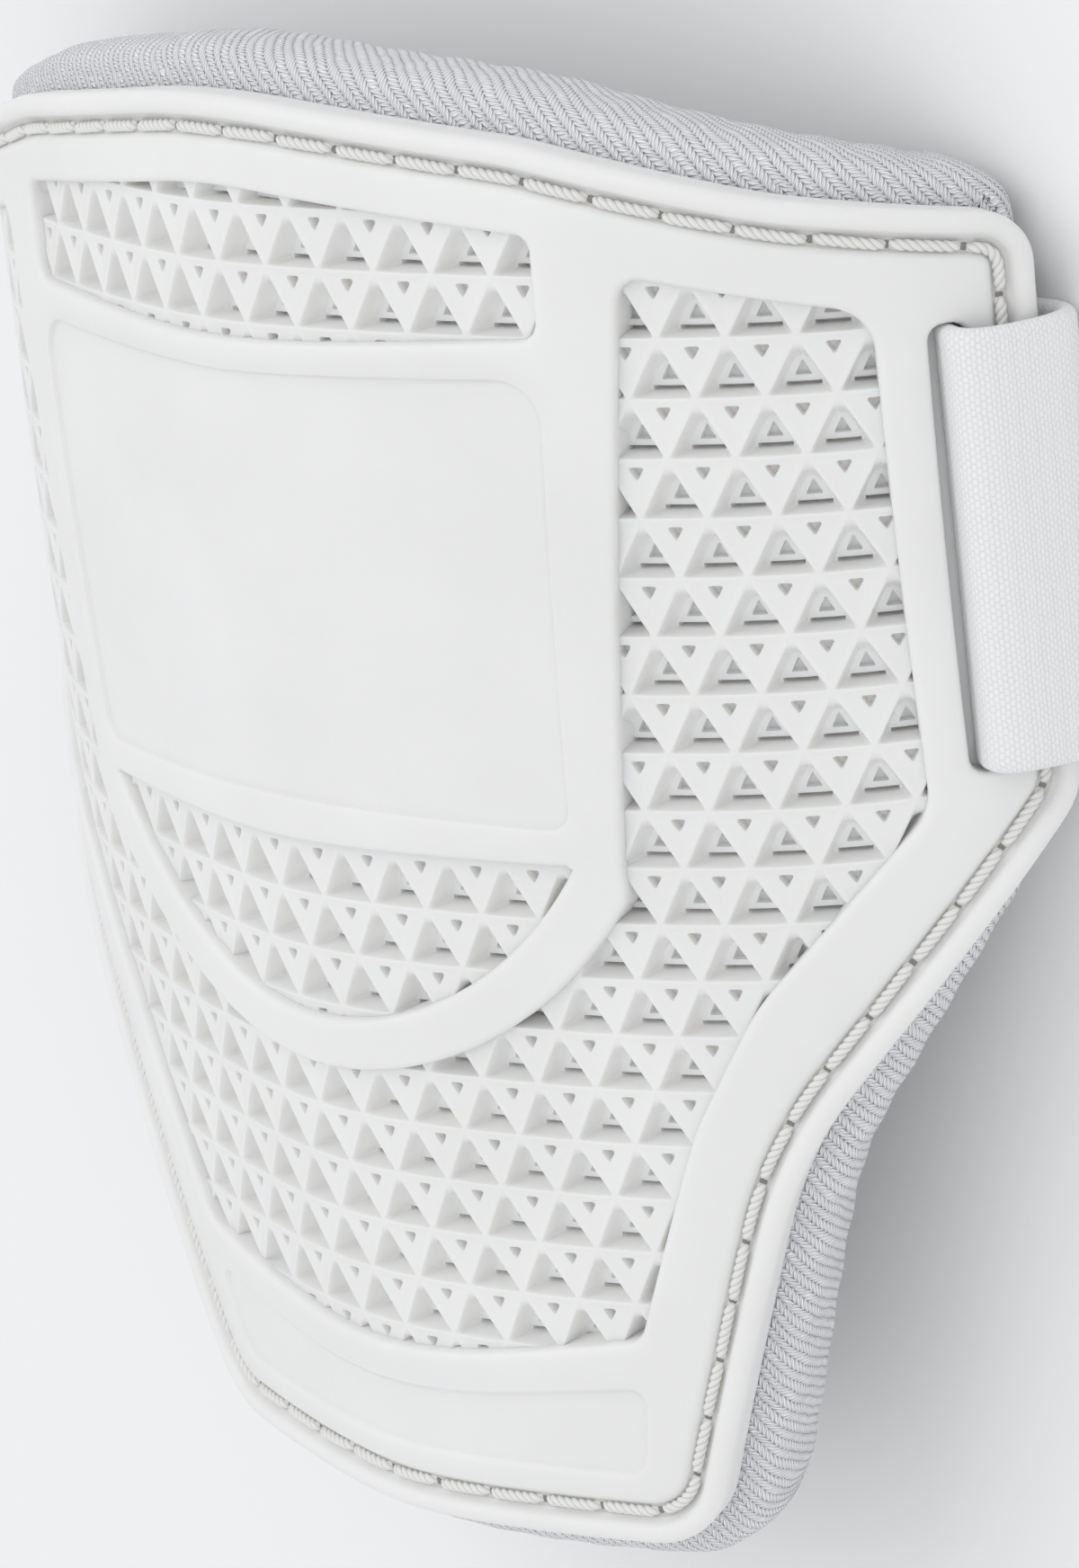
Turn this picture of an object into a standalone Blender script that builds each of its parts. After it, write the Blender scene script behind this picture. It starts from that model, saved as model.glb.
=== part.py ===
"""Baseball elbow guard: a moulded lattice shell on a foam pad, with one elastic strap.

The guard lies on its back, as it does on a table: its front faces up (+Z), the upper-arm end
points along +Y, and x = 0 is its plane of symmetry.

Every piece of the shell and the pad is drawn flat first, in three coordinates:
    s  distance across the guard, measured along its front from the centre line
    t  distance down the guard from the lattice's first row, towards the forearm
    w  height over the tops of the lattice ridges, outwards
bend() then rolls the flat piece into the guard's shape.
"""
import math

import bmesh
import bpy
import numpy as np
from mathutils import Vector

MM = 0.001

# Shape of the guard, in mm and radians
HALF_WIDTH = 77.0        # centre line to wing edge, along the front
TOP_RISE = 15.4          # the top edge's centre, above the first lattice row
DROP = 117.5             # the bottom edge, below the first lattice row
NOSE_TURN = 0.20         # how far the front turns away within the nose
NOSE_RUN = 10.0          # the half width of the nose
FRONT_TURN = 0.077       # steady turn from the centre line to the wing edge
WING_TURN = 1.05         # extra turn of the wings, which grows with the cube of s
ARCH_RADIUS = 714.0      # the front line's slow bend towards the arm

# Shell
FRAME_RISE = 1.0         # the frame and the panel stand this far over the ridges
BEAD_RISE = 0.7          # the edge bead, over the frame
BEAD_WIDTH = 2.2
CHANNEL_WIDTH = 1.8      # the stitching channel beside the bead
CHANNEL_DEPTH = 0.5
FLANGE = 2.8             # thickness of the thin outer border
BORDER = 9.0             # width of that border
CORE = 5.8               # thickness of the shell inside it
PANEL_SINK = 0.35        # the front panel, under the frame

# Lattice
PITCH = 6.0              # side of a lattice triangle
RIDGE = 1.6              # width of a ridge between two pockets
POCKET_DEPTH = 3.6
POCKET_TAPER = 0.55      # the pocket's floor, as a share of its mouth
WINDOW_LEDGE = 0.25      # the least width of ridge along a window's edge

# Slots and strap
SLOT_OFFSET = 9.4        # the slot's inner edge, in from the wing edge
SLOT_WIDTH = 3.4
SLOT_MIDDLE = 25.2       # t of the middle of the slot
STRAP_WIDTH = 38.1
STRAP_THICK = 1.8
SLOT_PLAY = 0.9          # room past each edge of the strap in its slot
SLOT_ROUND = 1.4         # radius of the slot's corners
WING_LIP = 4.3           # how far the wing reaches below the strap
WING_ROUND = 7.0         # radius of the wing's lower corner
WRAP_GAP = 0.6           # between the strap and the wing margin that it wraps
SEWN_TAIL = 34.0         # length of the tail that is sewn down
SEWN_BLOCK = 4.0         # length of the sewn block, and its distance from the tail's end
SEWN_INSET = 2.0
STRAIGHT = 12.0          # a longer piece of the strap's line is straight
HOOK_TAIL = 30.0         # length of the tail that carries the hook tab
TAB_LENGTH = 24.0

# Pad
PAD_THICK = 7.0          # behind the core of the shell
PAD_PAST = 4.0           # past the edge of the shell
PAD_PAST_WING = 1.6      # the same at the lower corner of each wing
PAD_ROLL = 2.4           # radius of the rolled edge
PAD_ROLL_STEPS = 2
NOTCH_PLAY = 2.0         # room between the pad and the strap in the pad's notch
NOTCH_FLARE = 0.3        # how much the notch widens towards the wing's edge
NOTCH_ROUND = 3.0        # radius of the notch's inner corners
NOTCH_LIP = 1.2          # radius of its outer corners

SEAM = 0.3               # between pieces that touch

# Outlines: right halves, from the centre line round to the centre line. Each corner has its s
# as a share of HALF_WIDTH, its t as a share of DROP (of TOP_RISE where negative), and its
# radius as a share of HALF_WIDTH.
OUTLINE = [
    # s       t       radius
    (0.000, -1.000, 1.169),
    (0.430, -0.760, 0.500),
    (0.720, -0.430, 0.900),
    (1.000, -0.221, 0.065),
    (0.636, 0.668, 0.584),
    (0.435, 0.995, 0.117),
    (0.000, 1.000, 0.000),
]
TOP_WINDOW = [
    (0.000, -0.470, 0.779),
    (0.446, -0.234, 0.016),
    (0.446, 0.044, 0.021),
    (0.000, 0.058, 3.896),
]
PANEL = [
    (0.000, 0.079, 0.000),
    (0.446, 0.073, 0.013),
    (0.416, 0.413, 0.013),
    (0.000, 0.406, 0.000),
]
SIDE_WINDOW = [
    # the outer side of the window that runs down both sides and under the arc bar
    (0.549, -0.026, 0.026),
    (0.822, 0.031, 0.052),
    (0.831, 0.407, 0.065),
    (0.610, 0.549, 0.325),
    (0.513, 0.647, 0.390),
    (0.392, 0.824, 0.032),
    (0.000, 0.866, 1.818),
]
MOON_TOP = 0.441         # t of the half-moon window's straight top edge, as a share of DROP
MOON_FOOT = 0.584        # t of its lowest point
MOON_HALF = 0.412        # its half width, as a share of HALF_WIDTH
ARC_BAR = 4.8            # width of the bar that follows it

ARC_STEP = 0.4           # turn and length, in radians and mm, of one straight piece of an arc
ARC_RUN = 7.5
BEND_LINES = (0.0, 0.14, 0.30, 0.44, 0.56, 0.68, 0.80, 0.91)
BEND_STEP = 26.0         # lines across the flat pieces, as shares of HALF_WIDTH, and down them

W_FRAME = FRAME_RISE
W_FLANGE = FRAME_RISE - FLANGE
W_CORE = FRAME_RISE - CORE
W_PAD = W_CORE - SEAM - PAD_THICK


def place(s_share, t_share):
    """Turns a table's shares into (s, t) in mm."""
    return (s_share * HALF_WIDTH, t_share * (TOP_RISE if t_share < 0 else DROP))


def placed(table):
    """A table's right half as corners (s, t, radius) in mm."""
    return [(*place(s, t), radius * HALF_WIDTH) for s, t, radius in table]


def mirrored(half):
    """All the corners of a symmetric outline, from its right half."""
    return half + [(-s, t, radius) for s, t, radius in reversed(half) if s > 0.05]


def shell_corners():
    """The shell's edge; each wing reaches past its slot."""
    half = placed(OUTLINE)
    foot = SLOT_MIDDLE + STRAP_WIDTH / 2 + WING_LIP
    return mirrored(half[:4] + [(HALF_WIDTH, foot, WING_ROUND)] + half[4:])


def rounded(corners, closed=True, even=False):
    """The path through the corners (s, t, radius), each rounded to its radius.

    With even, a corner has as many points whatever its radius.
    """
    path = []
    count = len(corners)
    for i, (s, t, radius) in enumerate(corners):
        here = Vector((s, t))
        if radius <= 0 or not closed and i in (0, count - 1):
            path.append(here)
            continue
        a = (Vector(corners[i - 1][:2]) - here)
        b = (Vector(corners[(i + 1) % count][:2]) - here)
        half = a.angle(b) / 2
        run = min(radius / math.tan(half), 0.48 * a.length, 0.48 * b.length)
        if run < 0.1:
            path.append(here)
            continue
        a.normalize()
        b.normalize()
        centre = here + (a + b).normalized() * run / math.cos(half)
        spoke, last = here + a * run - centre, here + b * run - centre
        sweep = math.atan2(spoke.x * last.y - spoke.y * last.x, spoke.dot(last))
        steps = max(1, round(abs(sweep) / ARC_STEP))
        if not even:
            steps = max(steps, round(abs(sweep) * spoke.length / ARC_RUN))
        for k in range(steps + 1):
            c, q = math.cos(sweep * k / steps), math.sin(sweep * k / steps)
            path.append(centre + Vector((c * spoke.x - q * spoke.y, q * spoke.x + c * spoke.y)))
    return path


def grown(corners, amount):
    """The corners moved outwards by amount, or inwards where it is negative."""
    points = [Vector(corner[:2]) for corner in corners]
    area = sum(a.x * b.y - b.x * a.y for a, b in zip(points, points[1:] + points[:1]))
    side = math.copysign(1.0, area)
    moved = []
    for i, here in enumerate(points):
        a = (here - points[i - 1]).normalized()
        b = (points[(i + 1) % len(points)] - here).normalized()
        n1, n2 = Vector((a.y, -a.x)) * side, Vector((b.y, -b.x)) * side
        mid = (n1 + n2).normalized()
        out = here + mid * amount / mid.dot(n1)
        bulges = (a.x * b.y - a.y * b.x) * side > 0
        radius = corners[i][2] + (amount if bulges else -amount)
        moved.append((out.x, out.y, max(radius, 1.0) if corners[i][2] else 0.0))
    return moved


def without_straight_points(outline):
    """The outline without the points that lie on a straight line between their neighbours."""
    kept = []
    for i, here in enumerate(outline):
        a, b = here - outline[i - 1], outline[(i + 1) % len(outline)] - here
        if a.length > 1e-4 and abs(a.x * b.y - a.y * b.x) > 1e-4 * a.length * b.length:
            kept.append(here)
    return kept


def inside(point, outline):
    """True where the point lies in the outline."""
    hit = False
    for a, b in zip(outline, outline[1:] + outline[:1]):
        if (a.y > point.y) != (b.y > point.y):
            if point.x < (b.x - a.x) * (point.y - a.y) / (b.y - a.y) + a.x:
                hit = not hit
    return hit


def arc_down(half_chord, top, foot, steps):
    """The right half of an arc that hangs from (half_chord, top) to (0, foot)."""
    rise = foot - top
    radius = (half_chord ** 2 + rise ** 2) / (2 * rise)
    reach = math.asin(half_chord / radius)
    angles = [reach * (1 - k / steps) for k in range(steps + 1)]
    return [(radius * math.sin(a), foot - radius + radius * math.cos(a), 0.0) for a in angles]


def windows(inset=0.0):
    """The outlines of the three lattice windows, drawn in by inset."""
    half, edge, foot = MOON_HALF * HALF_WIDTH, MOON_TOP * DROP, MOON_FOOT * DROP
    moon = arc_down(half, edge, foot, 8)
    # the side window's inner side follows the bar round the half moon, then goes up beside
    # the panel
    bar = arc_down(half + ARC_BAR, edge + 0.6 * ARC_BAR, foot + ARC_BAR, 8)
    inner = list(reversed(bar)) + [(half + ARC_BAR, edge, 0.0)]
    halves = (placed(TOP_WINDOW), [(0.0, edge, 0.0)] + moon, inner + placed(SIDE_WINDOW))
    return [rounded(grown(mirrored(half), -inset)) for half in halves]


def collection(name):
    found = bpy.data.collections.new(name)
    bpy.context.scene.collection.children.link(found)
    return found


def plate(name, outlines, low, high, group):
    """A flat plate between two heights; an outline inside another is a hole."""
    curve = bpy.data.curves.new(name, 'CURVE')
    curve.dimensions = '2D'
    curve.fill_mode = 'BOTH'
    curve.extrude = (high - low) / 2 * MM
    for outline in map(without_straight_points, outlines):
        spline = curve.splines.new('POLY')
        spline.points.add(len(outline) - 1)
        for point, p in zip(spline.points, outline):
            point.co = (p.x * MM, p.y * MM, 0.0, 1.0)
        spline.use_cyclic_u = True
    drawn = bpy.data.objects.new(name + '_drawing', curve)
    group.objects.link(drawn)
    drawn.location.z = (low + high) / 2 * MM
    bpy.context.view_layer.update()
    mesh = bpy.data.meshes.new_from_object(
        drawn.evaluated_get(bpy.context.evaluated_depsgraph_get()))
    solid = bpy.data.objects.new(name, mesh)
    solid.matrix_world = drawn.matrix_world.copy()
    group.objects.link(solid)
    bpy.data.objects.remove(drawn)
    bm = bmesh.new()
    bm.from_mesh(mesh)
    bmesh.ops.remove_doubles(bm, verts=bm.verts, dist=1e-6)
    bmesh.ops.recalc_face_normals(bm, faces=bm.faces)
    bm.to_mesh(mesh)
    bm.free()
    return solid


def lofted(name, rings, group):
    """A solid through rings (points, height), each with as many points."""
    bm = bmesh.new()
    loops = [[bm.verts.new((p.x * MM, p.y * MM, height * MM)) for p in points]
             for points, height in rings]
    for low, high in zip(loops, loops[1:]):
        for i in range(len(low)):
            bm.faces.new((low[i - 1], low[i], high[i], high[i - 1]))
    bm.faces.new(loops[0])
    bm.faces.new(loops[-1])
    bmesh.ops.recalc_face_normals(bm, faces=bm.faces)
    mesh = bpy.data.meshes.new(name)
    bm.to_mesh(mesh)
    bm.free()
    solid = bpy.data.objects.new(name, mesh)
    group.objects.link(solid)
    return solid


def combine(solid, other, operation):
    """Applies one Boolean and takes the other solid away."""
    modifier = solid.modifiers.new(operation.title(), 'BOOLEAN')
    modifier.operation = operation
    modifier.solver = 'EXACT'
    modifier.object = other
    bpy.context.view_layer.update()
    result = bpy.data.meshes.new_from_object(
        solid.evaluated_get(bpy.context.evaluated_depsgraph_get()))
    solid.modifiers.clear()
    solid.data = result
    bpy.data.objects.remove(other)
    return solid


def lattice_pockets(group):
    """One tapered triangular pocket for each lattice triangle that points up, in the windows."""
    row = PITCH * math.sqrt(3) / 2
    mouth = PITCH / math.sqrt(3) - RIDGE
    over = 0.6
    rows_up, rows_down = math.ceil(TOP_RISE / row), math.ceil(DROP / row)
    columns = math.ceil(HALF_WIDTH / PITCH) + 1
    openings = windows(WINDOW_LEDGE)
    bm = bmesh.new()
    for i in range(-rows_up, rows_down):
        for j in range(-columns, columns + 1):
            middle = Vector((PITCH * (j + 0.5 * (i % 2)), row * (i + 2 / 3)))
            if not any(inside(middle, outline) for outline in openings):
                continue
            made = bmesh.ops.create_cone(
                bm, cap_ends=True, segments=3, depth=(POCKET_DEPTH + over) * MM,
                radius1=mouth * POCKET_TAPER * MM,
                radius2=mouth * (1 + over / POCKET_DEPTH * (1 - POCKET_TAPER)) * MM)
            for v in made['verts']:
                # the primitive points along +Y; the pocket's apex points up the guard
                v.co = Vector((-v.co.x + middle.x * MM, -v.co.y + middle.y * MM,
                               v.co.z + (over - POCKET_DEPTH) / 2 * MM))
    mesh = bpy.data.meshes.new('pockets')
    bm.to_mesh(mesh)
    bm.free()
    pockets = bpy.data.objects.new('pockets', mesh)
    group.objects.link(pockets)
    trim = plate('window_trim', openings, -POCKET_DEPTH - 1, 1.5 * over, group)
    return combine(pockets, trim, 'INTERSECT')


def refine(solid):
    """Cuts the plain faces along regular lines, so that the flat solid can bend.

    The lattice's own ridges and pockets are fine enough as they are.
    """
    bm = bmesh.new()
    bm.from_mesh(solid.data)
    bm.transform(solid.matrix_world)
    solid.matrix_world.identity()
    bm.normal_update()
    across, down = Vector((1, 0, 0)), Vector((0, 1, 0))
    lines = [(across, side * share * HALF_WIDTH) for share in BEND_LINES for side in (1, -1)]
    lines += [(down, k * BEND_STEP) for k in range(-1, math.ceil(DROP / BEND_STEP) + 1)]
    for axis, at in lines:
        plain = [f for f in bm.faces if not is_lattice(f)]
        parts = set(plain)
        for face in plain:
            parts.update(face.edges)
            parts.update(face.verts)
        bmesh.ops.bisect_plane(bm, geom=list(parts), dist=2e-6,
                               plane_co=axis * at * MM, plane_no=axis)
    bmesh.ops.remove_doubles(bm, verts=bm.verts, dist=5e-6)
    bmesh.ops.dissolve_degenerate(bm, dist=5e-6, edges=bm.edges)
    bmesh.ops.triangulate(bm, faces=bm.faces)
    bm.to_mesh(solid.data)
    bm.free()


def is_lattice(face):
    """True for the ridge tops and for the pockets' walls and floors, in flat space."""
    heights = [v.co.z / MM for v in face.verts]
    return min(heights) > -POCKET_DEPTH - 0.01 and max(heights) < 0.01 and face.normal.z > -0.5


def turn(s):
    """The angle that the front has turned at distance s from the centre line."""
    share = s / HALF_WIDTH
    return NOSE_TURN * np.tanh(s / NOSE_RUN) + FRONT_TURN * share + WING_TURN * share ** 3


SECTION_S = np.linspace(0.0, 1.25 * HALF_WIDTH, 1001)
_MIDS = (SECTION_S[1:] + SECTION_S[:-1]) / 2
SECTION_X = np.concatenate([[0.0], np.cumsum(np.cos(turn(_MIDS)) * np.diff(SECTION_S))])
SECTION_Y = np.concatenate([[0.0], np.cumsum(np.sin(turn(_MIDS)) * np.diff(SECTION_S))])


def section(s, w):
    """Across (x) and depth behind the nose line (y) of a point of the section, in mm."""
    side = math.copysign(1.0, s)
    s = abs(s)
    a = float(turn(s))
    x = float(np.interp(s, SECTION_S, SECTION_X)) + w * math.sin(a)
    y = float(np.interp(s, SECTION_S, SECTION_Y)) - w * math.cos(a)
    return side * x, y


def bend(s, t, w):
    """The place of a flat point on the guard, with the nose line's middle at z = 0, in mm."""
    x, y = section(s, w)
    angle = (t - SLOT_MIDDLE) / ARCH_RADIUS
    radius = ARCH_RADIUS - y
    return Vector((x, -radius * math.sin(angle), radius * math.cos(angle) - ARCH_RADIUS))


def bend_solid(solid):
    """Bends a flat solid; t runs down the guard, so the faces turn over."""
    for v in solid.data.vertices:
        v.co = bend(*(v.co / MM)) * MM
    solid.data.flip_normals()


def make_shell(group, corners):
    def inset(amount):
        return rounded(grown(corners, -amount))

    over = W_FRAME + BEAD_RISE + 1.0

    shell = plate('shell', [inset(0.0)], W_FLANGE, W_FRAME + BEAD_RISE, group)
    combine(shell, plate('core', [inset(BORDER)], W_CORE, 0.5 * W_FRAME, group), 'UNION')
    combine(shell, plate('face', [inset(BEAD_WIDTH + 0.5 * CHANNEL_WIDTH)],
                         W_FRAME, over, group), 'DIFFERENCE')
    combine(shell, plate('channel', [inset(BEAD_WIDTH), inset(BEAD_WIDTH + CHANNEL_WIDTH)],
                         W_FRAME - CHANNEL_DEPTH, over, group), 'DIFFERENCE')
    panel = rounded(mirrored(placed(PANEL)))
    combine(shell, plate('panel', [panel], W_FRAME - PANEL_SINK, over, group), 'DIFFERENCE')
    combine(shell, plate('windows', windows(), 0.0, over, group), 'DIFFERENCE')
    combine(shell, lattice_pockets(group), 'DIFFERENCE')
    slot_in = HALF_WIDTH - SLOT_OFFSET
    half_length = STRAP_WIDTH / 2 + SLOT_PLAY
    for side in (1, -1):
        slot = [(side * (slot_in + a * SLOT_WIDTH), SLOT_MIDDLE + b * half_length, SLOT_ROUND)
                for a, b in ((0, -1), (1, -1), (1, 1), (0, 1))]
        combine(shell, plate('slot', [rounded(slot)], W_CORE - 1, over, group), 'DIFFERENCE')
    refine(shell)
    bend_solid(shell)
    return shell


def pad_corners(corners):
    """The pad's corners: past the shell's edge, and notched round the strap on each wing."""
    wide = HALF_WIDTH + PAD_PAST_WING
    notch = HALF_WIDTH - SLOT_OFFSET - NOTCH_PLAY
    half = STRAP_WIDTH / 2 + NOTCH_PLAY
    right = [(min(s, wide), t, radius) for s, t, radius in grown(corners, PAD_PAST) if s > -0.05]
    upper, lower = SLOT_MIDDLE - half, SLOT_MIDDLE + half
    middle = [(wide, upper - NOTCH_FLARE, NOTCH_LIP), (notch, upper, NOTCH_ROUND),
              (notch, lower, NOTCH_ROUND), (wide, lower + NOTCH_FLARE, NOTCH_LIP)]
    return mirrored(right[:4] + middle + right[4:])


def make_pad(group, corners):
    edge = pad_corners(corners)
    front, back = W_FLANGE - SEAM, W_PAD
    rings = []
    for end, way in ((front, -1), (back, 1)):
        # a rolled edge: an arc from the flat face to the side
        arc = [(PAD_ROLL * (1 - math.sin(a)), end + way * PAD_ROLL * (1 - math.cos(a)))
               for a in np.linspace(0, math.pi / 2, PAD_ROLL_STEPS + 1)]
        rings += arc if way < 0 else reversed(arc)
    pad = lofted('pad', [(rounded(grown(edge, -inset), even=True), w) for inset, w in rings], group)
    seat = plate('seat', [rounded(grown(corners, SEAM - BORDER))], W_CORE - SEAM, W_FRAME, group)
    combine(pad, seat, 'DIFFERENCE')
    refine(pad)
    bend_solid(pad)
    return pad


def strap_path(depth):
    """The middle line of the strap in the section, from its sewn end to its hook end.

    depth is how far below the nose line the underside of the strap lies.
    """
    half = STRAP_THICK / 2
    tail = depth - half
    run = tail - STRAP_THICK - SEAM
    edge = HALF_WIDTH - SLOT_OFFSET + SLOT_WIDTH
    gap = WRAP_GAP + half
    inner, outer = W_FLANGE - gap, W_FRAME + BEAD_RISE + gap
    near = 0.3 * gap
    # up beside the margin, out of the slot, and over the margin's outer face
    fold = [section(edge + 1.6 * gap, inner), section(edge + near, inner),
            section(edge - gap + near, inner + near), section(edge - gap, W_FLANGE),
            section(edge - gap, W_FRAME), section(edge - gap + near, outer - near),
            section(edge + near, outer), section(HALF_WIDTH - 1.6 * gap, outer),
            section(HALF_WIDTH, outer)]
    # round the wing's tip and under the run
    tip_x, tip_y = fold[-1]
    drop = tail - tip_y
    knee = [(tip_x + 0.2 * gap, tip_y + 0.35 * drop), (tip_x - 0.2 * gap, tip_y + 0.8 * drop),
            (tip_x - 1.1 * gap, tail), (tip_x - 2.4 * gap, tail)]
    hollow_x = section(HALF_WIDTH, inner)[0]
    turn_in = [(hollow_x - 3.5 * gap, run), (hollow_x - 1.9 * gap, run - 0.24 * gap),
               (hollow_x - gap, run - 0.93 * gap)]
    return [(0.0, run)] + turn_in, fold, knee, run, tail


def make_strap(group, depth):
    """The strap as a ribbon of constant thickness, and its hook tab."""
    run_side, fold, knee, run, tail = strap_path(depth)
    right = run_side + fold + knee
    end = knee[-1][0]
    path = ([(-(end - SEWN_TAIL), tail)] + [(-x, y) for x, y in reversed(right[1:])]
            + right[1:] + [(end - HOOK_TAIL, tail)])
    centre = smooth_path([Vector(p) for p in path], 1.6)
    left, side = [], []
    for i, here in enumerate(centre):
        before, after = centre[max(i - 1, 0)], centre[min(i + 1, len(centre) - 1)]
        along = (after - before).normalized()
        across = Vector((-along.y, along.x)) * STRAP_THICK / 2
        left.append(here + across)
        side.append(here - across)
    ribbon = left + list(reversed(side))
    strap = plate('strap', [ribbon], -STRAP_WIDTH / 2, STRAP_WIDTH / 2, group)
    # the sewn seam joins the tail to the run over it
    b = -(end - SEWN_TAIL) - SEWN_INSET
    a = b - SEWN_BLOCK
    seam = [Vector((a, run)), Vector((b, run)), Vector((b, tail)), Vector((a, tail))]
    combine(strap, plate('seam', [seam], -STRAP_WIDTH / 2 + 1, STRAP_WIDTH / 2 - 1, group), 'UNION')
    start = end - HOOK_TAIL - SEAM
    half = STRAP_THICK / 2
    corners = [Vector((start, tail - half)), Vector((start, tail + half)),
               Vector((start - TAB_LENGTH, tail + half)), Vector((start - TAB_LENGTH, tail - half))]
    tab = plate('hook_tab', [corners], -STRAP_WIDTH / 2 + 1, STRAP_WIDTH / 2 - 1, group)
    for solid in (strap, tab):
        stand(solid)
    return strap, tab


def smooth_path(points, step):
    """A smooth line through the points, with a point about every step mm where it turns."""
    path = []
    for i in range(len(points) - 1):
        p0, p1 = points[max(i - 1, 0)], points[i]
        p2, p3 = points[i + 1], points[min(i + 2, len(points) - 1)]
        length = (p2 - p1).length
        straight = length > STRAIGHT
        count = max(1, round(length / (STRAIGHT if straight else step)))
        m1 = (p2 - p0).normalized() * min(length, 3.0) if not straight else (p2 - p1)
        m2 = (p3 - p1).normalized() * min(length, 3.0) if not straight else (p2 - p1)
        if straight:
            path += [p1.lerp(p2, k / count) for k in range(count)]
            continue
        for k in range(count):
            u = k / count
            a, b = 2 * u ** 3 - 3 * u ** 2 + 1, u ** 3 - 2 * u ** 2 + u
            c, d = -2 * u ** 3 + 3 * u ** 2, u ** 3 - u ** 2
            path.append(p1 * a + m1 * b + p2 * c + m2 * d)
    return path + [points[-1]]


def stand(solid):
    """Turns a piece drawn in the section upright: depth becomes -z, its width runs along y."""
    bm = bmesh.new()
    bm.from_mesh(solid.data)
    bm.transform(solid.matrix_world)
    solid.matrix_world.identity()
    for v in bm.verts:
        v.co = Vector((v.co.x, v.co.z, -v.co.y))
    bmesh.ops.recalc_face_normals(bm, faces=bm.faces)
    bmesh.ops.triangulate(bm, faces=bm.faces)
    bm.to_mesh(solid.data)
    bm.free()


def colour(solid, name, rgb, roughness):
    material = bpy.data.materials.new(name)
    material.use_nodes = True
    shader = material.node_tree.nodes['Principled BSDF']
    shader.inputs['Base Color'].default_value = (*rgb, 1.0)
    shader.inputs['Roughness'].default_value = roughness
    shader.inputs['Metallic'].default_value = 0.0
    solid.data.materials.clear()
    solid.data.materials.append(material)


def main():
    for item in list(bpy.data.objects):
        bpy.data.objects.remove(item)
    guard = collection('elbow_guard')
    corners = shell_corners()

    shell = make_shell(guard, corners)
    pad = make_pad(guard, corners)
    depth = -min(v.co.z for v in pad.data.vertices) / MM
    strap, tab = make_strap(guard, depth)

    # the guard lies centred on the origin, on the pad's lower corners and the strap
    pieces = (shell, pad, strap, tab)
    ys = [v.co.y for piece in pieces for v in piece.data.vertices]
    shift = Vector((0.0, -(min(ys) + max(ys)) / 2, depth * MM))
    for piece in pieces:
        for v in piece.data.vertices:
            v.co += shift
        piece.data.update()
        piece.data.shade_smooth()
        piece.data.set_sharp_from_angle(angle=math.radians(35))

    colour(shell, 'moulded_white', (0.86, 0.86, 0.84), 0.45)
    colour(pad, 'pad_fabric', (0.60, 0.63, 0.68), 0.90)
    colour(strap, 'elastic_white', (0.84, 0.84, 0.83), 0.85)
    colour(tab, 'hook_tape', (0.80, 0.80, 0.80), 0.70)


main()
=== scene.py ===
import math

import bmesh
import bpy
import numpy as np
from mathutils import Matrix, Vector
from mathutils.geometry import delaunay_2d_cdt


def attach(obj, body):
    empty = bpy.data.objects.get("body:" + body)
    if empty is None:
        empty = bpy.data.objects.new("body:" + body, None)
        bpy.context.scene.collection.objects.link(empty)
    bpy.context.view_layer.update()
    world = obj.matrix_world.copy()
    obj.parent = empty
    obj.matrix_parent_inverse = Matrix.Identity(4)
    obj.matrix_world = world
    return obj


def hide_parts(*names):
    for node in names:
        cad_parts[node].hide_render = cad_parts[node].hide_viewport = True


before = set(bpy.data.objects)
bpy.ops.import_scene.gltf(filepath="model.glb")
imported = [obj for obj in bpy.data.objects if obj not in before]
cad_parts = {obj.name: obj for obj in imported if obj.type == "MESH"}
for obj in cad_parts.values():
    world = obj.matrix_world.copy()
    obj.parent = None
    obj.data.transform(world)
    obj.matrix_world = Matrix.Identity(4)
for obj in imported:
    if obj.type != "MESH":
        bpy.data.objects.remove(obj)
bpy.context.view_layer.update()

MM = 0.001

# The model's sizes, in mm and radians. A flat point is (s, t, w): s across from the nose line,
# t down from the first lattice row, w out from the tops of the lattice ridges.
HALF_WIDTH, TOP_RISE, DROP = 77.0, 15.4, 117.5
NOSE_TURN, NOSE_RUN, FRONT_TURN, WING_TURN = 0.20, 10.0, 0.077, 1.05
ARCH_RADIUS = 714.0
W_FRAME, W_BEAD, W_FLANGE, W_CORE, W_PAD = 1.0, 1.7, -1.8, -4.8, -12.1
PANEL_SINK = 0.50        # deeper than the model's, so that the panel's step shows
BEAD, CHANNEL, BORDER = 2.2, 1.8, 9.0
PITCH = 6.0
ROW = PITCH * math.sqrt(3) / 2
STRAP_WIDTH, STRAP_THICK, WRAP_GAP = 38.1, 1.8, 0.6
SLOT_OFFSET, SLOT_WIDTH, SLOT_MIDDLE, SLOT_PLAY, SLOT_ROUND = 9.4, 3.4, 25.2, 0.9, 1.4
SEWN_TAIL, HOOK_TAIL = 34.0, 30.0
PAD_PAST, PAD_PAST_WING = 4.0, 1.6
NOTCH_PLAY, NOTCH_FLARE, NOTCH_ROUND, NOTCH_LIP = 2.0, 0.3, 3.0, 1.2
SHIFT_Y, DEPTH = 26.122, 37.173
SEAM = 0.3

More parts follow.
